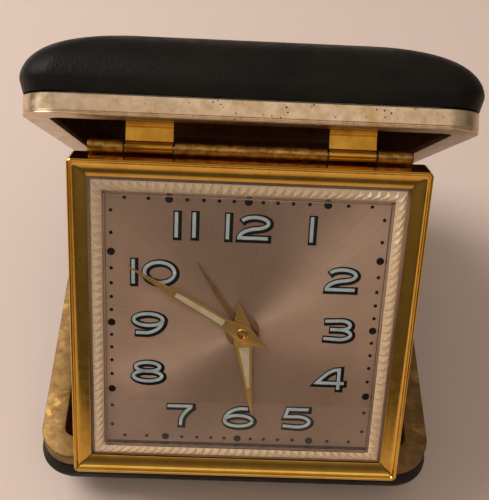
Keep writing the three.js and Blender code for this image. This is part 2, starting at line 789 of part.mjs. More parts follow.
add(clock, 'clock_hinge_leaf', clockLeaf(), 'agedBrass');
add(clock, 'clock_hinge_pin', rod(frontPinRadius, -knuckleEnd, knuckleEnd, pinHeight, pinZ), 'steel');
add(clock, 'bezel_frame', bezelSolid(), 'gilt');
add(clock, 'crystal', glassSolid(), 'acrylic');
add(clock, 'dial', dialSolid(), 'dialMetal');
add(clock, 'movement_case', canSolid(), 'gilt');
add(clock, 'front_plate', movementPlate(frontPlateZ, [...spanPlates, [minuteWheelAt, minuteStud]]), 'brass');
add(clock, 'rear_plate', movementPlate(rearPlateZ, spanPlates), 'brass');
pillarAt.forEach((at, i) => add(clock, `pillar_${i + 1}`, pillar(at), 'brass'));
backScrewAt.forEach((at, i) => add(clock, `back_screw_${i + 1}`, backScrew(at), 'steel'));
add(clock, 'minute_hand', minuteHandSolid(), 'gilt');
add(clock, 'hour_hand', hourHandSolid(), 'gilt');
add(clock, 'alarm_hand', alarmHandSolid(), 'gilt');
add(clock, 'cannon_pinion', cannonPinion(), 'brass');
add(clock, 'hour_wheel', hourWheel(), 'brass');
add(clock, 'minute_wheel', minuteWheel(), 'brass');
add(clock, 'alarm_wheel', alarmWheel(), 'brass');
add(clock, 'centre_wheel', centreWheel(), 'brass');
add(clock, 'third_wheel', trainWheel(thirdAt, wheels.third), 'brass');
add(clock, 'fourth_wheel', trainWheel(fourthAt, wheels.fourth), 'brass');
add(clock, 'escape_wheel', trainWheel(escapeAt, wheels.escape), 'brass');
add(clock, 'pallet_lever', leverSolid(), 'steel');
add(clock, 'balance_wheel', balanceSolid(), 'brass');
add(clock, 'hairspring', hairspringSolid(), 'steel');
add(clock, 'going_barrel', barrelSolid(goingBarrel), 'brass');
add(clock, 'alarm_barrel', barrelSolid(alarmBarrel), 'brass');
add(clock, 'going_barrel_arbor', barrelArbor(goingBarrel), 'steel');
add(clock, 'alarm_barrel_arbor', barrelArbor(alarmBarrel), 'steel');
add(clock, 'time_winding_key', windingKey(goingBarrel), 'agedBrass');
add(clock, 'alarm_winding_key', windingKey(alarmBarrel), 'agedBrass');
add(clock, 'time_set_arbor', setArbor(timeSetAt, wheels.timeSet, wheelThickness, -2.0), 'steel');
add(clock, 'alarm_set_arbor', setArbor(alarmSetAt, wheels.alarmSet, thinWheel, -0.7), 'steel');
add(clock, 'time_set_knob', setKnob(timeSetAt), 'agedBrass');
add(clock, 'alarm_set_knob', setKnob(alarmSetAt), 'agedBrass');
add(clock, 'alarm_hammer', hammerSolid(), 'steel');
add(clock, 'alarm_stop', alarmStop(), 'agedBrass');
add(clock, 'regulator', regulatorSolid(), 'agedBrass');

clockModel.add(base, lidTurn, clock);

export default clockModel;
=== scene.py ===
# Folding travel clock, standing open on a pale table
import json
import math

import bmesh
import bpy
from mathutils import Matrix, Vector


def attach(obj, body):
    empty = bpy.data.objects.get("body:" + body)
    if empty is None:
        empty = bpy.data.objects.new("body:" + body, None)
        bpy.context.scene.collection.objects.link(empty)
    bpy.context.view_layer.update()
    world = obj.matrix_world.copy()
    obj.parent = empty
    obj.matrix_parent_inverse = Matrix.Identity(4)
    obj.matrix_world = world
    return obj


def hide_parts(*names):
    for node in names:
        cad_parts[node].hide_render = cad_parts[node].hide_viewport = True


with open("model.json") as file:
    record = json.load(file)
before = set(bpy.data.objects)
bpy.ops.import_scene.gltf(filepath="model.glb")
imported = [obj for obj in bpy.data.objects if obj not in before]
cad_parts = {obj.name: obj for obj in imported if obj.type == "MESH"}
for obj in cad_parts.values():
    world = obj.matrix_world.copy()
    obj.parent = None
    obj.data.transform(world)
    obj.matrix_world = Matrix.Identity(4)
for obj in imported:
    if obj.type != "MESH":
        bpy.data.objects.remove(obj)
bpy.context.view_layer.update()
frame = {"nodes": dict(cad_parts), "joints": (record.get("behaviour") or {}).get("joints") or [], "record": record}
mm = 0.001
print("frame loaded:", len(frame["nodes"]), "nodes")


# Places of the three assemblies, in millimetres

def jointPlace(name):
    joint = next(j for j in frame["joints"] if j["name"] == name)
    return Vector(joint["pos_m"]) / mm


stance = dict(
    lidOpening=math.radians(50.55),
    clockLean=math.radians(60.282),
    rearAxisOut=1.55,       # rear hinge axis behind the shells
    pinAbove=32.0,          # front hinge axis above the middle of the dial
    pinBehind=1.2,
)
rearAxis = jointPlace("lid_hinge")
frontAxis = jointPlace("clock_hinge")
behindAxis = Matrix.Translation((0, -stance["rearAxisOut"], 0))
basePlace = Matrix.Translation(rearAxis) @ behindAxis
lidTurn = Matrix.Rotation(-stance["lidOpening"], 4, "X")
lidPlace = Matrix.Translation(rearAxis) @ lidTurn @ behindAxis @ Matrix.Rotation(math.pi, 4, "Y")
belowPin = Matrix.Translation((0, -stance["pinAbove"], stance["pinBehind"]))
clockPlace = Matrix.Translation(frontAxis) @ Matrix.Rotation(stance["clockLean"], 4, "X") @ belowPin


# Materials

def put(tree, kind, settings, values):
    made = tree.nodes.new("ShaderNode" + kind)
    for name, value in settings.items():
        setattr(made, name, value)
    for name, value in values.items():
        socket = made.inputs[name]
        if isinstance(value, bpy.types.NodeSocket):
            tree.links.new(value, socket)
        else:
            socket.default_value = value
    return made


def noise(tree, vector, scale, detail=3.0, roughness=0.55):
    values = {"Vector": vector, "Scale": scale, "Detail": detail, "Roughness": roughness}
    return put(tree, "TexNoise", {}, values).outputs["Fac"]


def cells(tree, vector, scale, feature="F1"):
    values = {"Vector": vector, "Scale": scale}
    return put(tree, "TexVoronoi", {"feature": feature}, values).outputs["Distance"]


def remap(tree, value, low, high, start=0.0, end=1.0):
    values = {"Value": value, "From Min": low, "From Max": high, "To Min": start, "To Max": end}
    return put(tree, "MapRange", {"interpolation_type": "SMOOTHSTEP"}, values).outputs["Result"]


def calculate(tree, operation, first, second=0.0):
    made = put(tree, "Math", {"operation": operation}, {0: first, 1: second})
    return made.outputs["Value"]


def multiply(tree, first, second):
    return calculate(tree, "MULTIPLY", first, second)


def blendColour(tree, factor, first, second):
    # Sockets 6 and 7 are the two colours of a Mix node, and output 2 is the mixed one
    made = put(tree, "Mix", {"data_type": "RGBA"}, {0: factor, 6: first, 7: second})
    return made.outputs[2]


def relief(tree, shader, height, depth, strength=1.0):
    bump = put(tree, "Bump", {}, {"Height": height, "Distance": depth, "Strength": strength})
    tree.links.new(bump.outputs["Normal"], shader.inputs["Normal"])


def startMaterial(name, **constants):
    made = bpy.data.materials.new(name)
    made.use_nodes = True
    tree = made.node_tree
    shader = tree.nodes["Principled BSDF"]
    for key, value in constants.items():
        shader.inputs[key.replace("_", " ")].default_value = value
    place = put(tree, "TexCoord", {}, {}).outputs["Object"]
    return made, tree, shader, place


def spread(tree, shader, colour, rough):
    tree.links.new(colour, shader.inputs["Base Color"])
    tree.links.new(rough, shader.inputs["Roughness"])


# Each look: colours, then roughness from lowest to highest, scales per metre and depths in metres

leatherLook = dict(
    dark=(0.0045, 0.0038, 0.0030, 1), worn=(0.0095, 0.0080, 0.0062, 1), rough=(0.42, 0.56), gloss=0.16,
    grain=1900.0, creases=3000.0, creaseShare=0.4, wear=70.0, depth=0.00006,
)


def leatherMaterial(name, look):
    made, tree, shader, place = startMaterial(name, Specular_IOR_Level=look["gloss"])
    pebbles = cells(tree, place, look["grain"])
    creases = multiply(tree, noise(tree, place, look["creases"], 3.0), look["creaseShare"])
    relief(tree, shader, calculate(tree, "ADD", pebbles, creases), look["depth"], 0.6)
    wear = remap(tree, noise(tree, place, look["wear"], 5.0), 0.35, 0.7)
    rough = remap(tree, noise(tree, place, 300.0), 0.3, 0.7, *look["rough"])
    spread(tree, shader, blendColour(tree, wear, look["dark"], look["worn"]), rough)
    return made


rimLook = dict(
    brassy=(0.56, 0.35, 0.12, 1), brassShare=0.75, pit=(0.06, 0.03, 0.012, 1), pitRough=0.3,
    pitsFrom=0.024, pitsTo=0.037,       # pits fade out between these distances from the middle
    cloud=420.0, patches=230.0, specks=1150.0, groups=260.0, depth=0.00003,
)


def rimMaterial(name, deep, pale, rough):
    look = rimLook
    made, tree, shader, place = startMaterial(name, Metallic=1.0)
    cloud = noise(tree, place, look["cloud"], 6.0, 0.65)
    plain = blendColour(tree, remap(tree, cloud, 0.32, 0.68), deep, pale)
    patches = remap(tree, noise(tree, place, look["patches"], 7.0, 0.7), 0.53, 0.68)
    tinted = blendColour(tree, multiply(tree, patches, look["brassShare"]), plain, look["brassy"])
    across = put(tree, "SeparateXYZ", {}, {0: place}).outputs["X"]
    distance = calculate(tree, "ABSOLUTE", across)
    middle = remap(tree, distance, look["pitsFrom"], look["pitsTo"], 1.0, 0.0)
    specks = remap(tree, cells(tree, place, look["specks"]), 0.10, 0.26, 1.0, 0.0)
    groups = remap(tree, noise(tree, place, look["groups"], 3.0), 0.46, 0.62)
    pits = multiply(tree, multiply(tree, specks, groups), middle)
    fine = remap(tree, noise(tree, place, 800.0, 4.0), 0.3, 0.7, *rough)
    dull = calculate(tree, "ADD", fine, multiply(tree, pits, look["pitRough"]))
    spread(tree, shader, blendColour(tree, pits, tinted, look["pit"]), dull)
    height = calculate(tree, "SUBTRACT", multiply(tree, cloud, 0.4), pits)
    relief(tree, shader, height, look["depth"], 0.6)
    return made


spotLook = dict(colour=(0.07, 0.05, 0.015, 1), marks=700.0, groups=160.0)


def metalMaterial(name, pale, deep, rough, scale, spots=0.0, depth=0.00001):
    made, tree, shader, place = startMaterial(name, Metallic=1.0)
    cloud = noise(tree, place, scale, 6.0, 0.6)
    colour = blendColour(tree, remap(tree, cloud, 0.34, 0.66), deep, pale)
    if spots:
        marks = remap(tree, cells(tree, place, spotLook["marks"]), 0.05, 0.16, 1.0, 0.0)
        groups = remap(tree, noise(tree, place, spotLook["groups"], 3.0), 0.56, 0.66)
        shade = multiply(tree, multiply(tree, marks, groups), spots)
        colour = blendColour(tree, shade, colour, spotLook["colour"])
    fine = noise(tree, place, scale * 3.0, 4.0)
    spread(tree, shader, colour, remap(tree, fine, 0.3, 0.7, *rough))
    relief(tree, shader, fine, depth, 0.5)
    return made


liningLook = dict(
    dark=(0.070, 0.017, 0.004, 1), pale=(0.110, 0.033, 0.008, 1), rough=(0.25, 0.42),
    cloud=140.0, grain=900.0, depth=0.00004,
)


def liningMaterial(name, look):
    made, tree, shader, place = startMaterial(name)
    cloud = remap(tree, noise(tree, place, look["cloud"], 5.0), 0.3, 0.7)
    rough = remap(tree, noise(tree, place, 500.0), 0.3, 0.7, *look["rough"])
    spread(tree, shader, blendColour(tree, cloud, look["dark"], look["pale"]), rough)
    relief(tree, shader, noise(tree, place, look["grain"]), look["depth"], 0.4)
    return made


handPlace = dict(
    pivot=(0.0, -1.0, 0.0),
    minuteAngle=math.radians(149),
    hourAngle=math.radians(-82),
    alarmAngle=math.radians(123),
)
dialLook = dict(
    dark=(0.54, 0.385, 0.30, 1), pale=(0.62, 0.45, 0.355, 1), streak=(0.78, 0.61, 0.50, 1),
    streakShare=0.22, rough=(0.5, 0.6), brushed=0.9, metal=0.92,
    beams=2.2, lines=60.0, haze=90.0, depth=0.000001,
)


def vectorMath(tree, operation, *vectors):
    return put(tree, "VectorMath", {"operation": operation}, dict(enumerate(vectors))).outputs[0]


def dialMaterial(name, look):
    made, tree, shader, place = startMaterial(name, Metallic=look["metal"], Anisotropic=look["brushed"])
    centre = clockPlace @ Vector(handPlace["pivot"]) * mm
    turn = {"Vector": place, "Location": centre, "Rotation": (stance["clockLean"], 0, 0)}
    flat = put(tree, "Mapping", {"vector_type": "TEXTURE"}, turn).outputs["Vector"]
    parts = put(tree, "SeparateXYZ", {}, {0: flat}).outputs
    angle = calculate(tree, "ARCTAN2", parts["Y"], parts["X"])
    circle = {"X": calculate(tree, "SINE", angle), "Y": calculate(tree, "COSINE", angle)}
    onCircle = put(tree, "CombineXYZ", {}, circle).outputs[0]
    lines = noise(tree, onCircle, look["lines"], 5.0, 0.7)
    haze = remap(tree, noise(tree, place, look["haze"], 4.0), 0.3, 0.7)
    base = blendColour(tree, haze, look["dark"], look["pale"])
    streaks = remap(tree, lines, 0.35, 0.7, 0.0, look["streakShare"])
    rough = remap(tree, noise(tree, onCircle, look["beams"], 3.0), 0.3, 0.7, *look["rough"])
    spread(tree, shader, blendColour(tree, streaks, base, look["streak"]), rough)
    # The dial is brushed outwards from its middle, so the tangent runs round the middle
    normal = clockPlace.to_3x3() @ Vector((0, 0, 1))
    around = vectorMath(tree, "CROSS_PRODUCT", vectorMath(tree, "SUBTRACT", place, centre), normal)
    unit = vectorMath(tree, "NORMALIZE", around)
    turned = {"vector_type": "VECTOR", "convert_from": "OBJECT", "convert_to": "WORLD"}
    tangent = put(tree, "VectorTransform", turned, {0: unit}).outputs[0]
    tree.links.new(tangent, shader.inputs["Tangent"])
    relief(tree, shader, lines, look["depth"], 0.3)
    return made


def paintMaterial(name, dark, pale, scale, rough, shine=0.4):
    made, tree, shader, place = startMaterial(name, Specular_IOR_Level=shine)
    cloud = noise(tree, place, scale, 4.0)
    colour = blendColour(tree, remap(tree, cloud, 0.3, 0.7), dark, pale)
    spread(tree, shader, colour, remap(tree, cloud, 0.3, 0.7, rough, rough + 0.12))
    relief(tree, shader, cloud, 0.00001, 0.4)
    return made


def crystalMaterial(name, tint, clearness, rough):
    made, tree, shader, place = startMaterial(
        name, Transmission_Weight=clearness, IOR=1.49, Specular_IOR_Level=0.3, Base_Color=tint)
    hazy = noise(tree, place, 60.0, 3.0)
    tree.links.new(remap(tree, hazy, 0.3, 0.7, rough, rough + 0.012), shader.inputs["Roughness"])
    # Shadow rays pass straight through, so the dial behind isn't dark
    clear = put(tree, "BsdfTransparent", {}, {"Color": (0.93, 0.91, 0.88, 1)}).outputs["BSDF"]
    path = put(tree, "LightPath", {}, {}).outputs["Is Shadow Ray"]
    mixed = put(tree, "MixShader", {}, {0: path, 1: shader.outputs["BSDF"], 2: clear})
    tree.links.new(mixed.outputs[0], tree.nodes["Material Output"].inputs["Surface"])
    return made


materials = {
    "leather": leatherMaterial("black grained leather", leatherLook),
    "rim_metal": rimMaterial(
        "worn champagne nickel", (0.58, 0.43, 0.27, 1), (0.76, 0.61, 0.45, 1), (0.28, 0.42)),
    # A darker, browner copy of the rim nickel for the base rim: painted shade for the shade under the open lid
    "shadedNickel": rimMaterial(
        "nickel with painted shade", (0.19, 0.105, 0.036, 1), (0.28, 0.175, 0.072, 1), (0.44, 0.58)),
    "steel": metalMaterial(
        "plain steel", (0.56, 0.56, 0.57, 1), (0.40, 0.40, 0.42, 1), (0.25, 0.4), 500.0),
    "lining": liningMaterial("dark brown lacquer", liningLook),
    "gilt": metalMaterial(
        "polished gilt brass", (0.82, 0.50, 0.10, 1), (0.75, 0.42, 0.07, 1), (0.08, 0.14), 260.0,
        0.7, 0.000004),
    # A darker copy of the polished gilt for the front brackets: painted shade
    "shadedGilt": metalMaterial(
        "gilt brass with painted shade", (0.48, 0.26, 0.04, 1), (0.36, 0.18, 0.022, 1), (0.10, 0.18), 260.0,
        0.7, 0.000004),
    "aged_brass": metalMaterial(
        "aged brass", (0.56, 0.33, 0.09, 1), (0.24, 0.125, 0.03, 1), (0.30, 0.48), 900.0, 0.6, 0.00003),
    "brass": metalMaterial(
        "satin brass", (0.74, 0.54, 0.24, 1), (0.60, 0.41, 0.16, 1), (0.25, 0.38), 600.0),
    "crystal": crystalMaterial("clear acrylic", (0.985, 0.965, 0.94, 1), 1.0, 0.0),
    "toothed": crystalMaterial("cut acrylic", (0.93, 0.78, 0.59, 1), 0.50, 0.08),
    "dial": dialMaterial("sunburst dial", dialLook),
    "handGilt": metalMaterial(
        "polished hand brass", (0.92, 0.62, 0.21, 1), (0.86, 0.56, 0.17, 1), (0.24, 0.27), 300.0,
        0.0, 0.0000004),
    "bronze": metalMaterial(
        "dull bronze", (0.56, 0.36, 0.16, 1), (0.48, 0.30, 0.125, 1), (0.26, 0.31), 300.0,
        0.0, 0.0000004),
    "ink": paintMaterial(
        "black ink", (0.0015, 0.0015, 0.0015, 1), (0.003, 0.003, 0.003, 1), 900.0, 0.6, 0.05),
    "numeral": paintMaterial(
        "blue grey paint", (0.44, 0.57, 0.64, 1), (0.54, 0.67, 0.75, 1), 700.0, 0.45),
    "lume": paintMaterial("cream paint", (0.50, 0.46, 0.30, 1), (0.66, 0.62, 0.44, 1), 600.0, 0.55),
}
print("materials made:", len(materials))


# Mesh helpers

def box(bm, x0, x1, y0, y1, z0, z1, edge=0.0):
    made = bmesh.ops.create_cube(bm, size=1.0)["verts"]
    bmesh.ops.scale(bm, verts=made, vec=(x1 - x0, y1 - y0, z1 - z0))
    bmesh.ops.translate(bm, verts=made, vec=((x0 + x1) / 2, (y0 + y1) / 2, (z0 + z1) / 2))
    if edge:
        soften(bm, edgesOn(made), edge)


def once(items):
    return list(dict.fromkeys(items))       # each item once, in the order met


def edgesOn(verts):
    chosen = set(verts)
    return [e for e in once(e for v in verts for e in v.link_edges) if chosen.issuperset(e.verts)]


def levelEdges(verts):
    return [e for e in edgesOn(verts) if abs(e.verts[0].co.z - e.verts[1].co.z) < 1e-6]


def shift(bm, made, move):
    verts = [g for g in made if isinstance(g, bmesh.types.BMVert)]
    bmesh.ops.translate(bm, verts=verts, vec=move)


def pushOn(bm, face, move):
    made = bmesh.ops.extrude_face_region(bm, geom=[face])["geom"]
    shift(bm, made, move)
    bmesh.ops.delete(bm, geom=[face], context="FACES_ONLY")
    return next(g for g in made if isinstance(g, bmesh.types.BMFace))


def soften(bm, edges, width, segments=2):
    bmesh.ops.bevel(
        bm, geom=edges, offset=width, offset_type="OFFSET", segments=segments, profile=0.5,
        affect="EDGES", material=-1, clamp_overlap=True)


def drum(bm, radius, z0, z1, x=0.0, y=0.0, edge=0.0, sides=32, topRadius=None):
    top = radius if topRadius is None else topRadius
    place = Matrix.Translation((x, y, (z0 + z1) / 2))
    made = bmesh.ops.create_cone(
        bm, cap_ends=True, segments=sides, radius1=radius, radius2=top, depth=z1 - z0,
        matrix=place)["verts"]
    if edge:
        soften(bm, levelEdges(made), edge)
    return made


def outline(bm, places, rounded, radius, steps):
    # A loop of edges through the places, with the corners in the slice rounded
    known = set(bm.edges)
    corners = [bm.verts.new(place) for place in places]
    bm.faces.new(corners)
    if radius > 0:
        bmesh.ops.bevel(
            bm, geom=corners[rounded], offset=radius, offset_type="OFFSET", segments=steps,
            profile=0.5, affect="VERTICES", material=-1)
    edges = [e for e in bm.edges if e not in known]
    faces = once(f for e in edges for f in e.link_faces)
    bmesh.ops.delete(bm, geom=faces, context="FACES_ONLY")
    return edges


def barrel(bm, x0, x1, y, z, outer, inner, edge=0.12, sides=36):
    section = ((x0, y, z + inner), (x1, y, z + inner), (x1, y, z + outer), (x0, y, z + outer))
    edges = outline(bm, section, slice(2, 4), edge, 3)
    verts = once(v for e in edges for v in e.verts)
    bmesh.ops.spin(
        bm, geom=verts + edges, cent=(0, y, z), axis=(1, 0, 0), angle=2 * math.pi, steps=sides,
        use_merge=True)


def ring(bm, x0, x1, y0, y1, radius, z, steps=8):
    corners = ((x0, y0, z), (x1, y0, z), (x1, y1, z), (x0, y1, z))
    return outline(bm, corners, slice(0, 4), radius, steps)


def bridge(bm, first, second):
    # Loops in one plane bridge crossed, so the second is lifted meanwhile
    level = first[0].verts[0].co.z - second[0].verts[0].co.z
    lift = 0.5 if abs(level) < 0.001 else 0.0
    verts = once(v for e in second for v in e.verts)
    bmesh.ops.translate(bm, verts=verts, vec=(0, 0, lift))
    bmesh.ops.bridge_loops(bm, edges=first + second)
    bmesh.ops.translate(bm, verts=verts, vec=(0, 0, -lift))


def skin(bm, rings, endless=False, caps=()):
    for first, second in zip(rings, rings[1:]):
        bridge(bm, first, second)
    if endless:
        bridge(bm, rings[-1], rings[0])
    for loop in caps:
        bmesh.ops.contextual_create(bm, geom=loop)


def toObject(bm, name):
    mesh = bpy.data.meshes.new(name)
    bm.to_mesh(mesh)
    bm.free()
    made = bpy.data.objects.new(name, mesh)
    bpy.context.scene.collection.objects.link(made)
    return made


def makePiece(name, bm, place, body, finish, nodes=(), sharp=32):
    bmesh.ops.remove_doubles(bm, verts=bm.verts, dist=1e-4)
    bmesh.ops.recalc_face_normals(bm, faces=bm.faces)
    bm.transform(Matrix.Scale(mm, 4) @ place)
    piece = toObject(bm, name)
    piece.data.shade_smooth()
    piece.data.set_sharp_from_angle(angle=math.radians(sharp))
    piece.data.materials.append(materials[finish])
    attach(piece, body)
    if nodes:
        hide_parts(*nodes)
    return piece


def carve(piece, cutter, place):
    cutter.transform(Matrix.Scale(mm, 4) @ place)
    bmesh.ops.recalc_face_normals(cutter, faces=cutter.faces)
    tool = toObject(cutter, "cutter")
    change = piece.modifiers.new("carve", "BOOLEAN")
    change.operation = "DIFFERENCE"
    change.solver = "EXACT"
    change.object = tool
    bpy.context.view_layer.update()
    shaped = piece.evaluated_get(bpy.context.evaluated_depsgraph_get())
    carved = bpy.data.meshes.new_from_object(shaped)
    piece.modifiers.clear()
    piece.data = carved
    bpy.data.objects.remove(tool)


# Shells

shell = dict(
    width=77.0, depth=79.2, height=15.5, rim=3.5, corner=6.6, flange=4.6, sheet=0.8,
    leather=1.2, bulge=0.6, dome=13.0, shoulder=2.5, cornerGrowth=0.4, gap=0.3,
    bead=0.42, groove=0.2, coverSteps=22, liningSteps=14,
)
liningDepth = shell["leather"] + shell["sheet"] + 2 * shell["gap"]
underFlange = -shell["sheet"] - shell["gap"]
coverTop = -shell["rim"] - shell["gap"]


def shellRing(bm, inset, z, growth=-1.0):
    half = shell["width"] / 2 - inset
    radius = shell["corner"] + growth * inset
    return ring(bm, -half, half, -shell["depth"] + inset, -inset, radius, z, 12)


def domeRings(bm, depth, top, steps):
    shoulder = -shell["rim"] - shell["shoulder"]
    rise = shell["height"] + shoulder - depth
    rings = [shellRing(bm, depth, top, 0)] if top > coverTop else []
    rings.append(shellRing(bm, depth, coverTop, 0))
    for i in range(steps + 1):
        angle = i / steps * math.pi / 2
        inset = shell["dome"] - shell["bulge"] - (shell["dome"] - depth) * math.cos(angle)
        growth = min(i, 1) * shell["cornerGrowth"]
        rings.append(shellRing(bm, inset, shoulder - rise * math.sin(angle), growth))
    return rings


def dish(depth, wall, top, steps):
    bm = bmesh.new()
    outer = domeRings(bm, depth, top, steps)
    inner = domeRings(bm, depth + wall, top, steps)
    skin(bm, outer)
    skin(bm, inner, caps=(outer[-1], inner[-1]))
    skin(bm, [outer[0], inner[0]])
    return bm


def rim():
    bm = bmesh.new()
    bead = shell["bead"]
    groove = shell["groove"]
    flange = shell["flange"]
    sheet = shell["sheet"]
    # Inset and level, up the outside, over the bead, across the flange and back down the inside
    profile = [
        (0.1, -shell["rim"]), (0.0, -shell["rim"] + 0.12), (0.0, -bead * 1.9), (groove, -bead * 1.55),
        (groove, -bead * 1.25), (0.03, -bead), (0.0, -bead * 0.6), (0.1, -bead * 0.25), (0.3, 0.0),
        (flange - 0.2, 0.0), (flange, -0.18), (flange, -sheet), (sheet, -sheet), (sheet, -shell["rim"]),
    ]
    skin(bm, [shellRing(bm, inset, z) for inset, z in profile], endless=True)
    return bm


# Catch button on the front of the base, and the slot that it slides in

button = dict(
    half=4.5, drop=2.0, height=1.4, proud=1.0, inner=4.6, play=0.3, slotBefore=2.0, slotBehind=4.3,
)
buttonLow = -button["drop"] - button["height"] / 2


def catchSlot():
    cutter = bmesh.new()
    front = -shell["depth"]
    half = button["half"] + button["play"]
    low = buttonLow - button["play"]
    high = buttonLow + button["height"] + button["play"]
    box(cutter, -half, half, front - button["slotBefore"], front + button["slotBehind"], low, high)
    return cutter


for body, place in (("base", basePlace), ("lid", lidPlace)):
    cover = dish(0.0, shell["leather"], coverTop, shell["coverSteps"])
    makePiece(body + "LeatherCover", cover, place, body, "leather", [body + "_leather_cover"])
    lining = dish(liningDepth, shell["sheet"], underFlange, shell["liningSteps"])
    lined = makePiece(body + "Lining", lining, place, body, "lining", [body + "_lining"])
    # The base rim takes the darker copy of the nickel, as painted shade
    finish = "shadedNickel" if body == "base" else "rim_metal"
    edged = makePiece(body + "Rim", rim(), place, body, finish, [body + "_rim"], 28)
    if body == "base":
        carve(lined, catchSlot(), place)
        carve(edged, catchSlot(), place)
bm = bmesh.new()
front = -shell["depth"] - button["proud"]
rear = -shell["depth"] + button["inner"]
high = buttonLow + button["height"]
box(bm, -button["half"], button["half"], front, rear, buttonLow, high, 0.3)
makePiece("catchButton", bm, basePlace, "catch", "gilt", ["catch_button"])
print("shells made")


# Rear hinge

rearHinge = dict(outer=1.25, inner=0.75, pin=0.45, segment=8.0, count=5, leaf=0.5, low=-3.3)
rearHalf = rearHinge["segment"] * rearHinge["count"] / 2


def rearLeaf(owned):
    bm = bmesh.new()
    segment = rearHinge["segment"]
    last = rearHinge["count"] - 1
    gap = shell["gap"]
    outside = gap + rearHinge["leaf"]
    shy = -rearHinge["outer"] - gap - 0.05
    box(bm, -rearHalf, rearHalf, gap, outside, rearHinge["low"], shy, 0.08)
    for i in range(owned, rearHinge["count"], 2):
        start = -rearHalf + i * segment + (gap / 2 if i > 0 else 0)
        end = -rearHalf + (i + 1) * segment - (gap / 2 if i < last else 0)
        box(bm, start, end, gap, outside, shy - 0.2, -0.5)
        barrel(bm, start, end, stance["rearAxisOut"], 0.0, rearHinge["outer"], rearHinge["inner"])
    return bm


def pinRod(radius, half, y, z):
    bm = bmesh.new()
    drum(bm, radius, -half, half, 0, 0, radius * 0.35, 24)
    bmesh.ops.rotate(bm, verts=bm.verts, cent=(0, 0, 0), matrix=Matrix.Rotation(math.pi / 2, 3, "Y"))
    bmesh.ops.translate(bm, verts=bm.verts, vec=(0, y, z))
    return bm


makePiece("baseHingeLeaf", rearLeaf(0), basePlace, "base", "aged_brass", ["base_hinge_leaf"])
makePiece("lidHingeLeaf", rearLeaf(1), lidPlace, "lid", "aged_brass", ["lid_hinge_leaf"])
rearPin = pinRod(rearHinge["pin"], rearHalf, stance["rearAxisOut"], 0)
makePiece("rearHingePin", rearPin, basePlace, "base", "steel", ["rear_hinge_pin"])


# Front hinge: two brackets on the lid, and further down three knuckles on the clock

frontHinge = dict(
    pinY=-73.6, pinZ=4.2, outer=1.1, inner=0.75, pin=0.45, innerX=13.1, outerX=21.1, endX=27.4,
    plate=0.6, plateFront=-74.3, footRear=-75.5, bend=0.3, intoBarrel=0.85,
    jog=(0, 0.25, 0.3), jogAfter=1.5, leaf=0.5,
)


def bracket(side):
    bm = bmesh.new()
    x0, x1 = sorted((side * frontHinge["innerX"], side * frontHinge["outerX"]))
    top = underFlange
    low = top - frontHinge["plate"]
    rear = frontHinge["footRear"]
    bend = frontHinge["bend"]
    bendY = frontHinge["plateFront"] - bend
    section = [bm.verts.new((x, rear, z)) for x, z in ((x0, top), (x1, top), (x1, low), (x0, low))]
    face = pushOn(bm, bm.faces.new(section), (0, bendY - rear, 0))
    turned = bmesh.ops.spin(
        bm, geom=[face], cent=(0, bendY, top + bend), axis=(1, 0, 0), angle=math.pi / 2, steps=8)
    face = next(g for g in turned["geom_last"] if isinstance(g, bmesh.types.BMFace))
    rise = frontHinge["pinZ"] - frontHinge["intoBarrel"] - top - bend
    rest = rise - frontHinge["jogAfter"] - frontHinge["jog"][2]
    for move in ((0, 0, frontHinge["jogAfter"]), frontHinge["jog"], (0, 0, rest)):
        face = pushOn(bm, face, move)
    pin = frontHinge["pinY"], frontHinge["pinZ"]
    barrel(bm, x0, x1, *pin, frontHinge["outer"], frontHinge["inner"], 0.1)
    return bm


# The brackets take the darker gilt, as painted shade
makePiece("leftBracket", bracket(1), lidPlace, "lid", "shadedGilt", ["left_bracket"])
makePiece("rightBracket", bracket(-1), lidPlace, "lid", "shadedGilt", ["right_bracket"])


# Clock frame

clockFrame = dict(half=30.6, rear=-2.6, front=2.4, well=27.4, seat=28.4, seatTop=1.3)


def clockRing(bm, half, z, radius, steps=6):
    return ring(bm, -half, half, -half, half, radius, z, steps)


def bezel():
    bm = bmesh.new()
    half = clockFrame["half"]
    front = clockFrame["front"]
    rear = clockFrame["rear"]
    well = clockFrame["well"]
    seat = clockFrame["seat"]
    seatTop = clockFrame["seatTop"]
    # Half width, level and corner radius: up the side, over the bead, down the slope into the well
    profile = [
        (half - 0.1, rear, 0.9), (half, rear + 0.1, 1.0), (half, front - 0.3, 1.0),
        (half - 0.06, front - 0.12, 0.95), (half - 0.18, front - 0.02, 0.85),
        (half - 0.32, front, 0.75), (half - 0.46, front - 0.04, 0.65), (half - 0.56, front - 0.14, 0.6),
        (half - 0.62, front - 0.3, 0.6), (half - 0.72, front - 0.5, 0.55),
        (half - 0.9, front - 0.68, 0.55), (half - 1.2, front - 0.82, 0.5),
        (half - 1.7, front - 0.93, 0.45), (half - 2.3, front - 1.0, 0.4),
        (well + 0.1, front - 1.05, 0.3), (well, seatTop, 0.3), (seat, seatTop, 0.5), (seat, rear, 0.5),
    ]
    skin(bm, [clockRing(bm, *row) for row in profile], endless=True)
    return bm


caseBack = dict(
    halfX=25.5, halfY=25.0, rear=-12.5, wall=0.6, corner=2.0, bend=1.3, bendSteps=5, flange=28.0,
    flangeZ=-2.2, flangeThick=0.5, panel=3.0,
)


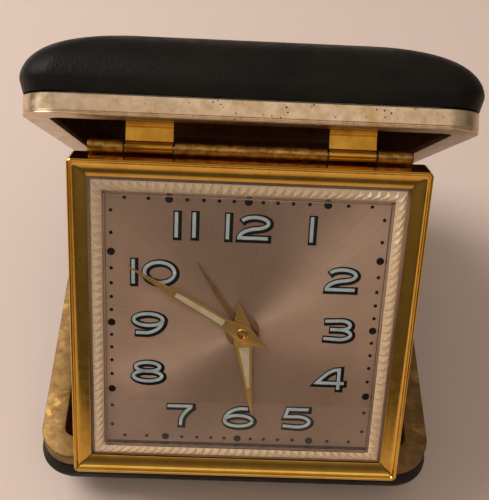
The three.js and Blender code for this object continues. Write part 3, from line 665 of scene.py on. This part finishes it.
def clockLeaf():
    bm = bmesh.new()
    gap = shell["gap"]
    end = frontHinge["endX"]
    inner = frontHinge["innerX"]
    outer = frontHinge["outerX"]
    shelf = clockFrame["half"] + gap
    outside = shelf + frontHinge["leaf"]
    strip = clockFrame["rear"] - gap - frontHinge["leaf"]
    box(bm, -end, end, caseBack["halfY"] + 2 * gap, outside, strip, strip + frontHinge["leaf"], 0.1)
    for x0, x1 in ((-end, -outer - gap), (-inner + gap, inner - gap), (outer + gap, end)):
        box(bm, x0, x1, shelf, outside, strip, -stance["pinBehind"] - 0.3, 0.05)
        pin = stance["pinAbove"], -stance["pinBehind"]
        barrel(bm, x0, x1, *pin, frontHinge["outer"], frontHinge["inner"])
    return bm


def caseRing(bm, growth, z, radius):
    halfX = caseBack["halfX"] + growth
    halfY = caseBack["halfY"] + growth
    return ring(bm, -halfX, halfX, -halfY, halfY, radius, z, 6)


def movementCase():
    bm = bmesh.new()
    rear = caseBack["rear"]
    corner = caseBack["corner"]
    bend = caseBack["bend"]
    wall = caseBack["wall"]
    flange = caseBack["flange"] - caseBack["halfX"]
    flangeLow = caseBack["flangeZ"]
    flangeTop = flangeLow + caseBack["flangeThick"]
    rings = [
        caseRing(bm, -wall, rear + wall, corner), caseRing(bm, -wall, flangeTop, corner),
        caseRing(bm, flange, flangeTop, 0.6), caseRing(bm, flange, flangeLow, 0.6),
        caseRing(bm, 0.3, flangeLow, corner + 0.3), caseRing(bm, 0.0, flangeLow - 0.3, corner),
    ]
    for i in range(caseBack["bendSteps"] + 1):
        angle = i / caseBack["bendSteps"] * math.pi / 2
        inset = bend * (1 - math.cos(angle))
        rings.append(caseRing(bm, -inset, rear + bend - bend * math.sin(angle), corner - inset * 0.6))
    panel = caseBack["panel"]
    rings += [caseRing(bm, -panel, rear, 1.4), caseRing(bm, -panel - 0.25, rear + 0.15, 1.3)]
    skin(bm, rings, caps=(rings[0], rings[-1]))
    return bm


makePiece("bezelFrame", bezel(), clockPlace, "clock", "gilt", ["bezel_frame"], 30)
makePiece("clockHingeLeaf", clockLeaf(), clockPlace, "clock", "aged_brass", ["clock_hinge_leaf"])
frontPin = pinRod(frontHinge["pin"], frontHinge["endX"], stance["pinAbove"], -stance["pinBehind"])
makePiece("clockHingePin", frontPin, clockPlace, "clock", "steel", ["clock_hinge_pin"])
case = makePiece("movementCase", movementCase(), clockPlace, "clock", "gilt", ["movement_case"])


# Fittings on the clock's back: their places as seen from the front, and the holes in the case

fitting = dict(
    keys=((-12.5, -8.5), (12.5, -8.5)), timeKnob=(0.0, -11.5), alarmKnob=(6.5, 2.6),
    stop=(17.0, 12.0), regulator=(-12.0, 12.0), screws=((-21.0, 0.0), (21.0, 0.0)),
    wideHole=1.3, smallHole=1.1, knobHole=0.9, holeRear=-14.5, holeFront=-10.5,
    face=-12.8,         # level of the fittings' feet, just behind the case
    stemEnd=-10.7,      # level that the stems reach inside
)
face = fitting["face"]
stemEnd = fitting["stemEnd"]


def caseHoles():
    cutter = bmesh.new()
    holes = [(at, fitting["wideHole"]) for at in fitting["keys"]]
    holes += [(at, fitting["smallHole"]) for at in fitting["screws"]]
    holes += [(fitting[name], fitting["knobHole"]) for name in ("timeKnob", "alarmKnob")]
    holes += [(fitting["stop"], fitting["wideHole"]), (fitting["regulator"], fitting["smallHole"])]
    for (x, y), radius in holes:
        drum(cutter, radius, fitting["holeRear"], fitting["holeFront"], x, y, 0.0, 20)
    return cutter


key = dict(
    foot=2.2, footRise=2.6, neck=1.5, neckFrom=2.4, neckRise=3.2,
    barHalf=4.9, barThick=0.45, barFrom=1.0, barRise=3.5,
    lobe=1.9, lobeThick=0.6, lobeOut=4.85, lobeRise=2.2,
)


def windingKey(at):
    bm = bmesh.new()
    x, y = at
    long, thick = key["barHalf"], key["barThick"]
    drum(bm, key["foot"], face - key["footRise"], face, x, y, 0.25)
    drum(bm, key["neck"], face - key["neckRise"], face - key["neckFrom"], x, y, 0.15)
    box(bm, x - long, x + long, y - thick, y + thick, face - key["barRise"], face - key["barFrom"], 0.2)
    upright = Matrix.Rotation(math.pi / 2, 3, "X")
    for side in (-1, 1):
        known = set(bm.verts)
        drum(bm, key["lobe"], -key["lobeThick"], key["lobeThick"], 0, 0, 0.3)
        lobe = [v for v in bm.verts if v not in known]
        bmesh.ops.rotate(bm, verts=lobe, cent=(0, 0, 0), matrix=upright)
        bmesh.ops.translate(bm, verts=lobe, vec=(x + side * key["lobeOut"], y, face - key["lobeRise"]))
    return bm


knob = dict(radius=3.0, rise=2.4, corners=56, valley=0.92, button=1.9, buttonRise=2.6)


def knurledKnob(at):
    bm = bmesh.new()
    made = drum(bm, knob["radius"], face - knob["rise"], face, 0, 0, 0, knob["corners"])
    for vertex in made:
        turn = math.atan2(vertex.co.y, vertex.co.x) / (2 * math.pi) * knob["corners"]
        if round(turn) % 4 in (2, 3):       # two corners up and two down, all the way round
            vertex.co.x *= knob["valley"]
            vertex.co.y *= knob["valley"]
    soften(bm, levelEdges(made), 0.15, 1)
    drum(bm, knob["button"], face - knob["buttonRise"], face - knob["rise"] + 0.1, 0, 0, 0.1)
    bmesh.ops.translate(bm, verts=bm.verts, vec=(at[0], at[1], 0))
    return bm


stop = dict(head=1.9, headRise=2.2, headFrom=1.2, neck=1.35, stem=1.0)


def stopKnob():
    bm = bmesh.new()
    x, y = fitting["stop"]
    drum(bm, stop["head"], face - stop["headRise"], face - stop["headFrom"], x, y, 0.3)
    drum(bm, stop["neck"], face - stop["headFrom"] - 0.1, face, x, y, 0.1)
    drum(bm, stop["stem"], face - 0.2, stemEnd, x, y)
    return bm


regulator = dict(
    reach=5.4, half=0.5, thick=0.5, turn=math.atan2(-2.5, 5.0), hub=1.6, hubRise=0.55, stem=0.8,
)


def regulatorLever():
    bm = bmesh.new()
    x, y = fitting["regulator"]
    half = regulator["half"]
    box(bm, -regulator["reach"], 0.0, -half, half, face - regulator["thick"], face, 0.12)
    turn = Matrix.Rotation(regulator["turn"], 3, "Z")
    bmesh.ops.rotate(bm, verts=bm.verts, cent=(0, 0, 0), matrix=turn)
    bmesh.ops.translate(bm, verts=bm.verts, vec=(x, y, 0))
    drum(bm, regulator["hub"], face - regulator["hubRise"], face, x, y, 0.12)
    drum(bm, regulator["stem"], face - 0.2, stemEnd, x, y)
    return bm


screw = dict(head=1.6, rise=0.7, stem=0.8, slotHalf=0.2, slotFloor=0.35)


def backScrew(at):
    bm = bmesh.new()
    x, y = at
    drum(bm, screw["head"], face - screw["rise"], face, x, y, 0.2)
    drum(bm, screw["stem"], face - 0.1, stemEnd, x, y)
    return bm


def screwSlot(at):
    cutter = bmesh.new()
    x, y = at
    half = screw["slotHalf"]
    box(cutter, x - 2, x + 2, y - half, y + half, face - 1.0, face - screw["slotFloor"])
    return cutter


carve(case, caseHoles(), clockPlace)
keyPlaces = dict(zip(("time", "alarm"), fitting["keys"]))
backPieces = (
    ("timeWindingKey", windingKey(keyPlaces["time"]), "time_winder", "time_winding_key"),
    ("alarmWindingKey", windingKey(keyPlaces["alarm"]), "alarm_winder", "alarm_winding_key"),
    ("timeSetKnob", knurledKnob(fitting["timeKnob"]), "time_setting", "time_set_knob"),
    ("alarmSetKnob", knurledKnob(fitting["alarmKnob"]), "alarm_setting", "alarm_set_knob"),
    ("alarmStopKnob", stopKnob(), "alarm_silencer", "alarm_stop"),
    ("regulatorLever", regulatorLever(), "rate_lever", "regulator"),
)
for name, bm, body, node in backPieces:
    makePiece(name, bm, clockPlace, body, "aged_brass", [node])
for i, at in enumerate(fitting["screws"], 1):
    number = str(i)
    made = makePiece(
        "backScrew" + number, backScrew(at), clockPlace, "clock", "steel", ["back_screw_" + number])
    carve(made, screwSlot(at), clockPlace)
print("clock case made")


# Crystal with a toothed border

crystal = dict(
    half=28.1, bottom=0.3, border=1.0, plateau=24.7, top=2.2, inner=24.35, innerTop=1.6, cuts=34,
    toothOuter=26.75, toothInner=24.95, toothBase=0.12, toothHeight=0.62,
)


def plainRing(bm, half, z):
    # A square loop with as many points a side as the border has teeth
    known = set(bm.edges)
    made = bmesh.ops.create_grid(bm, x_segments=1, y_segments=1, size=half)["verts"]
    bmesh.ops.translate(bm, verts=made, vec=(0, 0, z))
    bmesh.ops.delete(bm, geom=once(f for v in made for f in v.link_faces), context="FACES_ONLY")
    edges = [e for e in bm.edges if e not in known]
    bmesh.ops.subdivide_edges(bm, edges=edges, cuts=crystal["cuts"] - 1)
    return [e for e in bm.edges if e not in known]


def glass():
    bm = bmesh.new()
    half, bottom, border = crystal["half"], crystal["bottom"], crystal["border"]
    plateau, top = crystal["plateau"], crystal["top"]
    # Half width and level: from the hollow underneath, round the border and up to the raised middle
    profile = [
        (crystal["inner"], crystal["innerTop"]), (crystal["inner"], bottom), (half, bottom),
        (half, border - 0.1), (half - 0.1, border), (plateau + 0.1, border + 0.02),
        (plateau, border + 0.12), (plateau, top - 0.15), (plateau - 0.15, top),
    ]
    rings = [plainRing(bm, *row) for row in profile]
    skin(bm, rings, caps=(rings[0], rings[-1]))
    return bm


def toothedBorder():
    bm = bmesh.new()
    outer, inner = crystal["toothOuter"], crystal["toothInner"]
    low = crystal["border"] + 0.03
    high = low + crystal["toothBase"]
    rings = [plainRing(bm, *row) for row in ((outer, high), (outer, low), (inner, low), (inner, high))]
    skin(bm, rings)
    known = set(bm.faces)
    bridge(bm, rings[-1], rings[0])
    band = [f for f in bm.faces if f not in known]
    peaks = bmesh.ops.poke(bm, faces=band)["verts"]
    bmesh.ops.translate(bm, verts=peaks, vec=(0, 0, crystal["toothHeight"]))
    return bm


makePiece("crystalPane", glass(), clockPlace, "clock", "crystal", ["crystal"], 12)
makePiece("crystalTeeth", toothedBorder(), clockPlace, "clock", "toothed", (), 12)


# Dial, its numerals and its dots

dial = dict(
    half=27.8, thickness=0.4, hole=2.45,
    trackHalf=23.5, bigDot=0.7, smallDot=0.33, dotHeight=0.03, dotTaper=0.93,
    inkHalf=0.74, inkHeight=0.03, inkLonger=0.42, fillHalf=0.3, fillHeight=0.055,
    inkShift=(0.14, -0.11), fillShift=(-0.06, 0.04),
)


def dialPlate():
    bm = bmesh.new()
    plainRing(bm, dial["half"], 0)
    pivot = Matrix.Translation(handPlace["pivot"])
    bmesh.ops.create_circle(bm, cap_ends=False, segments=48, radius=dial["hole"], matrix=pivot)
    bmesh.ops.triangle_fill(bm, use_beauty=True, use_dissolve=False, edges=bm.edges[:])
    made = bmesh.ops.extrude_face_region(bm, geom=bm.faces[:])["geom"]
    shift(bm, made, (0, 0, -dial["thickness"]))
    return bm


def arc(cx, cy, rx, ry, start, end, steps=18):
    turns = [math.radians(start + (end - start) * i / steps) for i in range(steps + 1)]
    return [(cx + rx * math.cos(t), cy + ry * math.sin(t)) for t in turns]


# Strokes of each plain figure, about its own middle
figures = {
    "0": [arc(0, 0, 2.65, 1.92, 0, 360, 40)],
    "1": [[(0, -2.3), (0, 2.3)]],
    "2": [
        arc(0.1, 0.88, 2.35, 1.04, 158, -70) + arc(1.0, -1.9, 3.55, 1.75, 100, 180) + [(2.45, -1.9)],
    ],
    "3": [
        [(-2.2, 1.72)] + arc(0.6, 1.0, 1.75, 0.9, 85, -85) + [(-1.2, 0.12)],
        arc(0.35, -0.87, 2.2, 1.0, 75, -105) + [(-2.3, -1.72)],
    ],
    "4": [
        [(1.35, -2.3), (1.35, 1.85), (0.4, 1.72), (-0.7, 1.08), (-1.7, 0.08), (-2.6, -0.98),
         (2.4, -0.98)],
    ],
    "5": [
        [(2.3, 1.9), (-1.55, 1.9), (-2.0, 0.3)] + arc(0.25, -0.78, 2.3, 1.12, 105, -110)
        + [(-2.35, -1.72)],
    ],
    "6": [arc(0, -0.75, 2.6, 1.15, 0, 360, 36), arc(0.9, -0.75, 3.5, 2.67, 180, 100) + [(1.7, 1.85)]],
    "7": [
        [(-2.35, 1.9), (2.3, 1.9)],
        [(2.1, 1.75), (1.25, 0.95), (0.6, 0.1), (0.2, -0.9), (0.1, -2.2)],
    ],
    "8": [arc(0, 1.02, 2.2, 0.9, 0, 360, 36), arc(0, -0.87, 2.6, 1.05, 0, 360, 36)],
    "9": [arc(0, 0.75, 2.6, 1.15, 0, 360, 36), arc(-0.9, 0.75, 3.5, 2.67, 0, -80) + [(-2.2, -1.85)]],
}
# Each figure and the place of its middle on the dial, from twelve round to eleven
numerals = (
    ("1", -3.37, 18.9), ("2", 1.2, 18.85), ("1", 11.15, 18.9), ("2", 17.1, 9.75), ("3", 17.05, -0.1),
    ("4", 16.85, -10.0), ("5", 10.85, -18.7), ("6", 0.1, -18.9), ("7", -10.85, -18.75),
    ("8", -16.95, -9.85), ("9", -16.9, -0.05), ("1", -19.6, 9.95), ("0", -15.0, 9.9),
    ("1", -12.2, 18.9), ("1", -9.15, 18.95),
)


def ribbon(bm, line, half, height, offset):
    closed = (line[0] - line[-1]).length < 1e-6
    sides = []
    for i, point in enumerate(line):
        before = line[i - 1] if i else (line[-2] if closed else None)
        after = line[i + 1] if i + 1 < len(line) else (line[1] if closed else None)
        steps = [s.normalized() for s in (before and point - before, after and after - point) if s]
        along = sum(steps, Vector((0, 0))).normalized()
        reach = half / max(along.dot(steps[0]), 0.42)       # mitred, but not endlessly
        across = Vector((-along.y, along.x)) * reach
        edge = [point + across * s + Vector(offset) for s in (1, -1)]
        sides.append([bm.verts.new((*place, 0.0)) for place in edge])
    flat = [bm.faces.new((a[0], a[1], b[1], b[0])) for a, b in zip(sides, sides[1:])]
    raised = bmesh.ops.extrude_face_region(bm, geom=flat)["geom"]
    shift(bm, raised, (0, 0, height))


def writeNumerals(half, height, offset, longer):
    bm = bmesh.new()
    for figure, x, y in numerals:
        for stroke in figures[figure]:
            points = [Vector((x + px, y + py)) for px, py in stroke]
            if (points[0] - points[-1]).length > 0.01:
                points[0] += (points[0] - points[1]).normalized() * longer
                points[-1] += (points[-1] - points[-2]).normalized() * longer
            ribbon(bm, points, half, height, offset)
    return bm


def minuteDots():
    bm = bmesh.new()
    reach = dial["trackHalf"]
    for minute in range(60):
        angle = math.radians(minute * 6)
        across, up = math.sin(angle), math.cos(angle)
        scale = reach / max(abs(across), abs(up))
        radius = dial["smallDot"] if minute % 5 else dial["bigDot"]
        top = radius * dial["dotTaper"]
        drum(bm, radius, 0.0, dial["dotHeight"], across * scale, up * scale, 0, 24, top)
    return bm


makePiece("dialPlate", dialPlate(), clockPlace, "clock", "dial", ["dial"])
outlines = writeNumerals(dial["inkHalf"], dial["inkHeight"], dial["inkShift"], dial["inkLonger"])
makePiece("numeralOutlines", outlines, clockPlace, "clock", "ink")
faces = writeNumerals(dial["fillHalf"], dial["fillHeight"], dial["fillShift"], 0)
makePiece("numeralFaces", faces, clockPlace, "clock", "numeral")
makePiece("minuteDots", minuteDots(), clockPlace, "clock", "ink")
print("dial made")


# Hands, made along X from the pivot and then turned
# Stations are distance, half width and ridge height; the painted strip is distance and half width

minuteHand = dict(
    level=1.0, thick=0.12, angle=handPlace["minuteAngle"], hub=1.3,
    stations=(
        (-5.4, 0.0, 0.0), (-0.9, 1.7, 0.12), (1.3, 1.5, 0.12), (3.9, 0.9, 0.0), (14.2, 0.72, 0.0),
        (24.1, 0.08, 0.0)),
    strip=((4.0, 0.58), (14.1, 0.42)), stripThick=0.07,
    cap=1.1, capHeight=0.3, capEdge=0.24, capLip=0.16, capWall=0.1, capDish=0.2,
)
hourHand = dict(
    level=0.6, thick=0.12, angle=handPlace["hourAngle"], hub=1.5,
    stations=(
        (-6.0, 0.0, 0.0), (-0.9, 1.75, 0.1), (1.5, 1.7, 0.1), (2.6, 1.55, 0.0), (11.4, 0.6, 0.0),
        (16.7, 0.06, 0.0)),
    strip=((2.9, 0.95), (11.3, 0.2)), stripThick=0.07,
)
alarmHand = dict(
    level=0.2, thick=0.12, angle=handPlace["alarmAngle"], hub=3.15,
    stations=((2.9, 0.5, 0.0), (9.0, 0.4, 0.0), (15.6, 0.06, 0.0)),
)


def handBlade(hand):
    bm = bmesh.new()
    level = hand["level"] + hand["thick"]
    rows = []
    for along, half, ridge in hand["stations"]:
        side = max(half, 0.04)
        points = ((along, -side, level), (along, 0, level + ridge), (along, side, level))
        rows.append([bm.verts.new(point) for point in points])
    for a, b in zip(rows, rows[1:]):
        for k in (0, 1):
            bm.faces.new((a[k], a[k + 1], b[k + 1], b[k]))
    lowered = bmesh.ops.extrude_face_region(bm, geom=bm.faces[:])["geom"]
    for part in lowered:
        if isinstance(part, bmesh.types.BMVert):
            part.co.z = hand["level"]
    upper = [e for e in bm.edges if all(v.co.z > level - 0.01 for v in e.verts)]
    soften(bm, [e for e in upper if e.calc_face_angle(0) > 0.9], 0.09, 1)
    drum(bm, hand["hub"], hand["level"], level + 0.015, 0, 0, 0.05, 40)
    turnHand(bm, hand)
    return bm


def handCap(hand):
    bm = bmesh.new()
    level = hand["level"] + hand["thick"]
    drum(bm, hand["cap"], level - 0.02, level + hand["capHeight"], 0, 0, 0, 48)
    top = max(bm.faces, key=lambda f: f.calc_center_median().z)
    soften(bm, list(top.edges), hand["capEdge"], 5)
    top = max(bm.faces, key=lambda f: (round(f.calc_center_median().z, 4), f.calc_area()))
    bmesh.ops.inset_region(bm, faces=[top], thickness=hand["capLip"], depth=0)
    bmesh.ops.inset_region(bm, faces=[top], thickness=hand["capWall"], depth=-hand["capDish"])
    turnHand(bm, hand)
    return bm


def turnHand(bm, hand):
    turn = Matrix.Rotation(hand["angle"], 3, "Z")
    bmesh.ops.rotate(bm, verts=bm.verts, cent=(0, 0, 0), matrix=turn)
    bmesh.ops.translate(bm, verts=bm.verts, vec=handPlace["pivot"])


def paintedStrip(hand):
    bm = bmesh.new()
    (x0, wide), (x1, narrow) = hand["strip"]
    level = hand["level"] + hand["thick"]
    corners = ((x0, -wide), (x1, -narrow), (x1, narrow), (x0, wide))
    face = bm.faces.new([bm.verts.new((x, y, level)) for x, y in corners])
    pushOn(bm, face, (0, 0, hand["stripThick"]))
    bmesh.ops.holes_fill(bm, edges=bm.edges[:], sides=4)
    turnHand(bm, hand)
    return bm


alarmBlade = handBlade(alarmHand)
hourBlade = handBlade(hourHand)
minuteBlade = handBlade(minuteHand)
makePiece("alarmHand", alarmBlade, clockPlace, "alarm_pointer", "bronze", ["alarm_hand"], 15)
makePiece("hourHand", hourBlade, clockPlace, "hour", "handGilt", ["hour_hand"], 12)
makePiece("minuteHand", minuteBlade, clockPlace, "minute", "handGilt", ["minute_hand"], 12)
makePiece("minuteHandCap", handCap(minuteHand), clockPlace, "minute", "gilt", (), 50)
makePiece("hourHandPaint", paintedStrip(hourHand), clockPlace, "hour", "lume")
makePiece("minuteHandPaint", paintedStrip(minuteHand), clockPlace, "minute", "lume")
print("hands made")


# Finishes of the CAD nodes that stay as they are

for row in frame["record"]["subparts"]:
    node = frame["nodes"][row["node"]]
    node.data.materials.clear()
    node.data.materials.append(materials[row["material_slot"]])


# Table, light and camera

stage = dict(
    half=1.6, pale=(0.80, 0.665, 0.60, 1), dark=(0.776, 0.64505, 0.582, 1), roughness=0.75,
    roomColour=(1.0, 0.84, 0.70, 1), roomLow=0.08, roomHigh=0.36,
)
bm = bmesh.new()
bmesh.ops.create_grid(bm, x_segments=1, y_segments=1, size=stage["half"])
table = toObject(bm, "tableTop")
top, tree, shader, place = startMaterial("pale table", Roughness=stage["roughness"])
tint = blendColour(tree, noise(tree, place, 6.0), stage["pale"], stage["dark"])
tree.links.new(tint, shader.inputs["Base Color"])
table.data.materials.append(top)

world = bpy.data.worlds.new("soft room")
bpy.context.scene.world = world
world.use_nodes = True
tree = world.node_tree
sky = put(tree, "TexCoord", {}, {}).outputs["Generated"]
height = put(tree, "SeparateXYZ", {}, {0: sky}).outputs["Z"]
glow = remap(tree, height, -0.05, 0.75, stage["roomLow"], stage["roomHigh"])
tree.links.new(glow, tree.nodes["Background"].inputs["Strength"])
tree.nodes["Background"].inputs["Color"].default_value = stage["roomColour"]

lamps = (
    dict(name="windowLamp", place=(-0.60, 0.16, 0.64), size=0.52, power=6.0, colour=(1, 0.95, 0.90)),
    dict(name="frontLamp", place=(0.10, -0.44, 0.66), size=0.55, power=0.55, colour=(1, 0.86, 0.72)),
)
aim = Vector((0, 0, 0.04))
for lamp in lamps:
    light = bpy.data.lights.new(lamp["name"], "AREA")
    light.shape = "SQUARE"
    light.size = lamp["size"]
    light.energy = lamp["power"]
    light.color = lamp["colour"]
    source = bpy.data.objects.new(lamp["name"], light)
    source.location = lamp["place"]
    source.rotation_euler = (aim - Vector(lamp["place"])).to_track_quat("-Z", "Y").to_euler()
    bpy.context.scene.collection.objects.link(source)

# The camera as fitted to the photo: place in millimetres, directions, and focal length in pixels
view = dict(
    place=(-4.841, -116.904, 175.664), forward=(0.02921, 0.63238, -0.77411),
    down=(0.03765, -0.77459, -0.63135), focalPixels=884.8, imageHeight=500, sensor=36.0,
)
camera = bpy.data.cameras.new("camera")
camera.sensor_width = view["sensor"]
camera.lens = view["focalPixels"] / view["imageHeight"] * view["sensor"]
camera.clip_start = 0.01
looker = bpy.data.objects.new("camera", camera)
back = -Vector(view["forward"]).normalized()
up = -Vector(view["down"])
right = up.cross(back).normalized()
up = back.cross(right)
turn = Matrix((right, up, back)).transposed().to_4x4()
looker.matrix_world = Matrix.Translation(Vector(view["place"]) * mm) @ turn
bpy.context.scene.collection.objects.link(looker)
bpy.context.scene.camera = looker
bpy.context.scene.view_settings.view_transform = "Standard"
print("stage, lights and camera made")
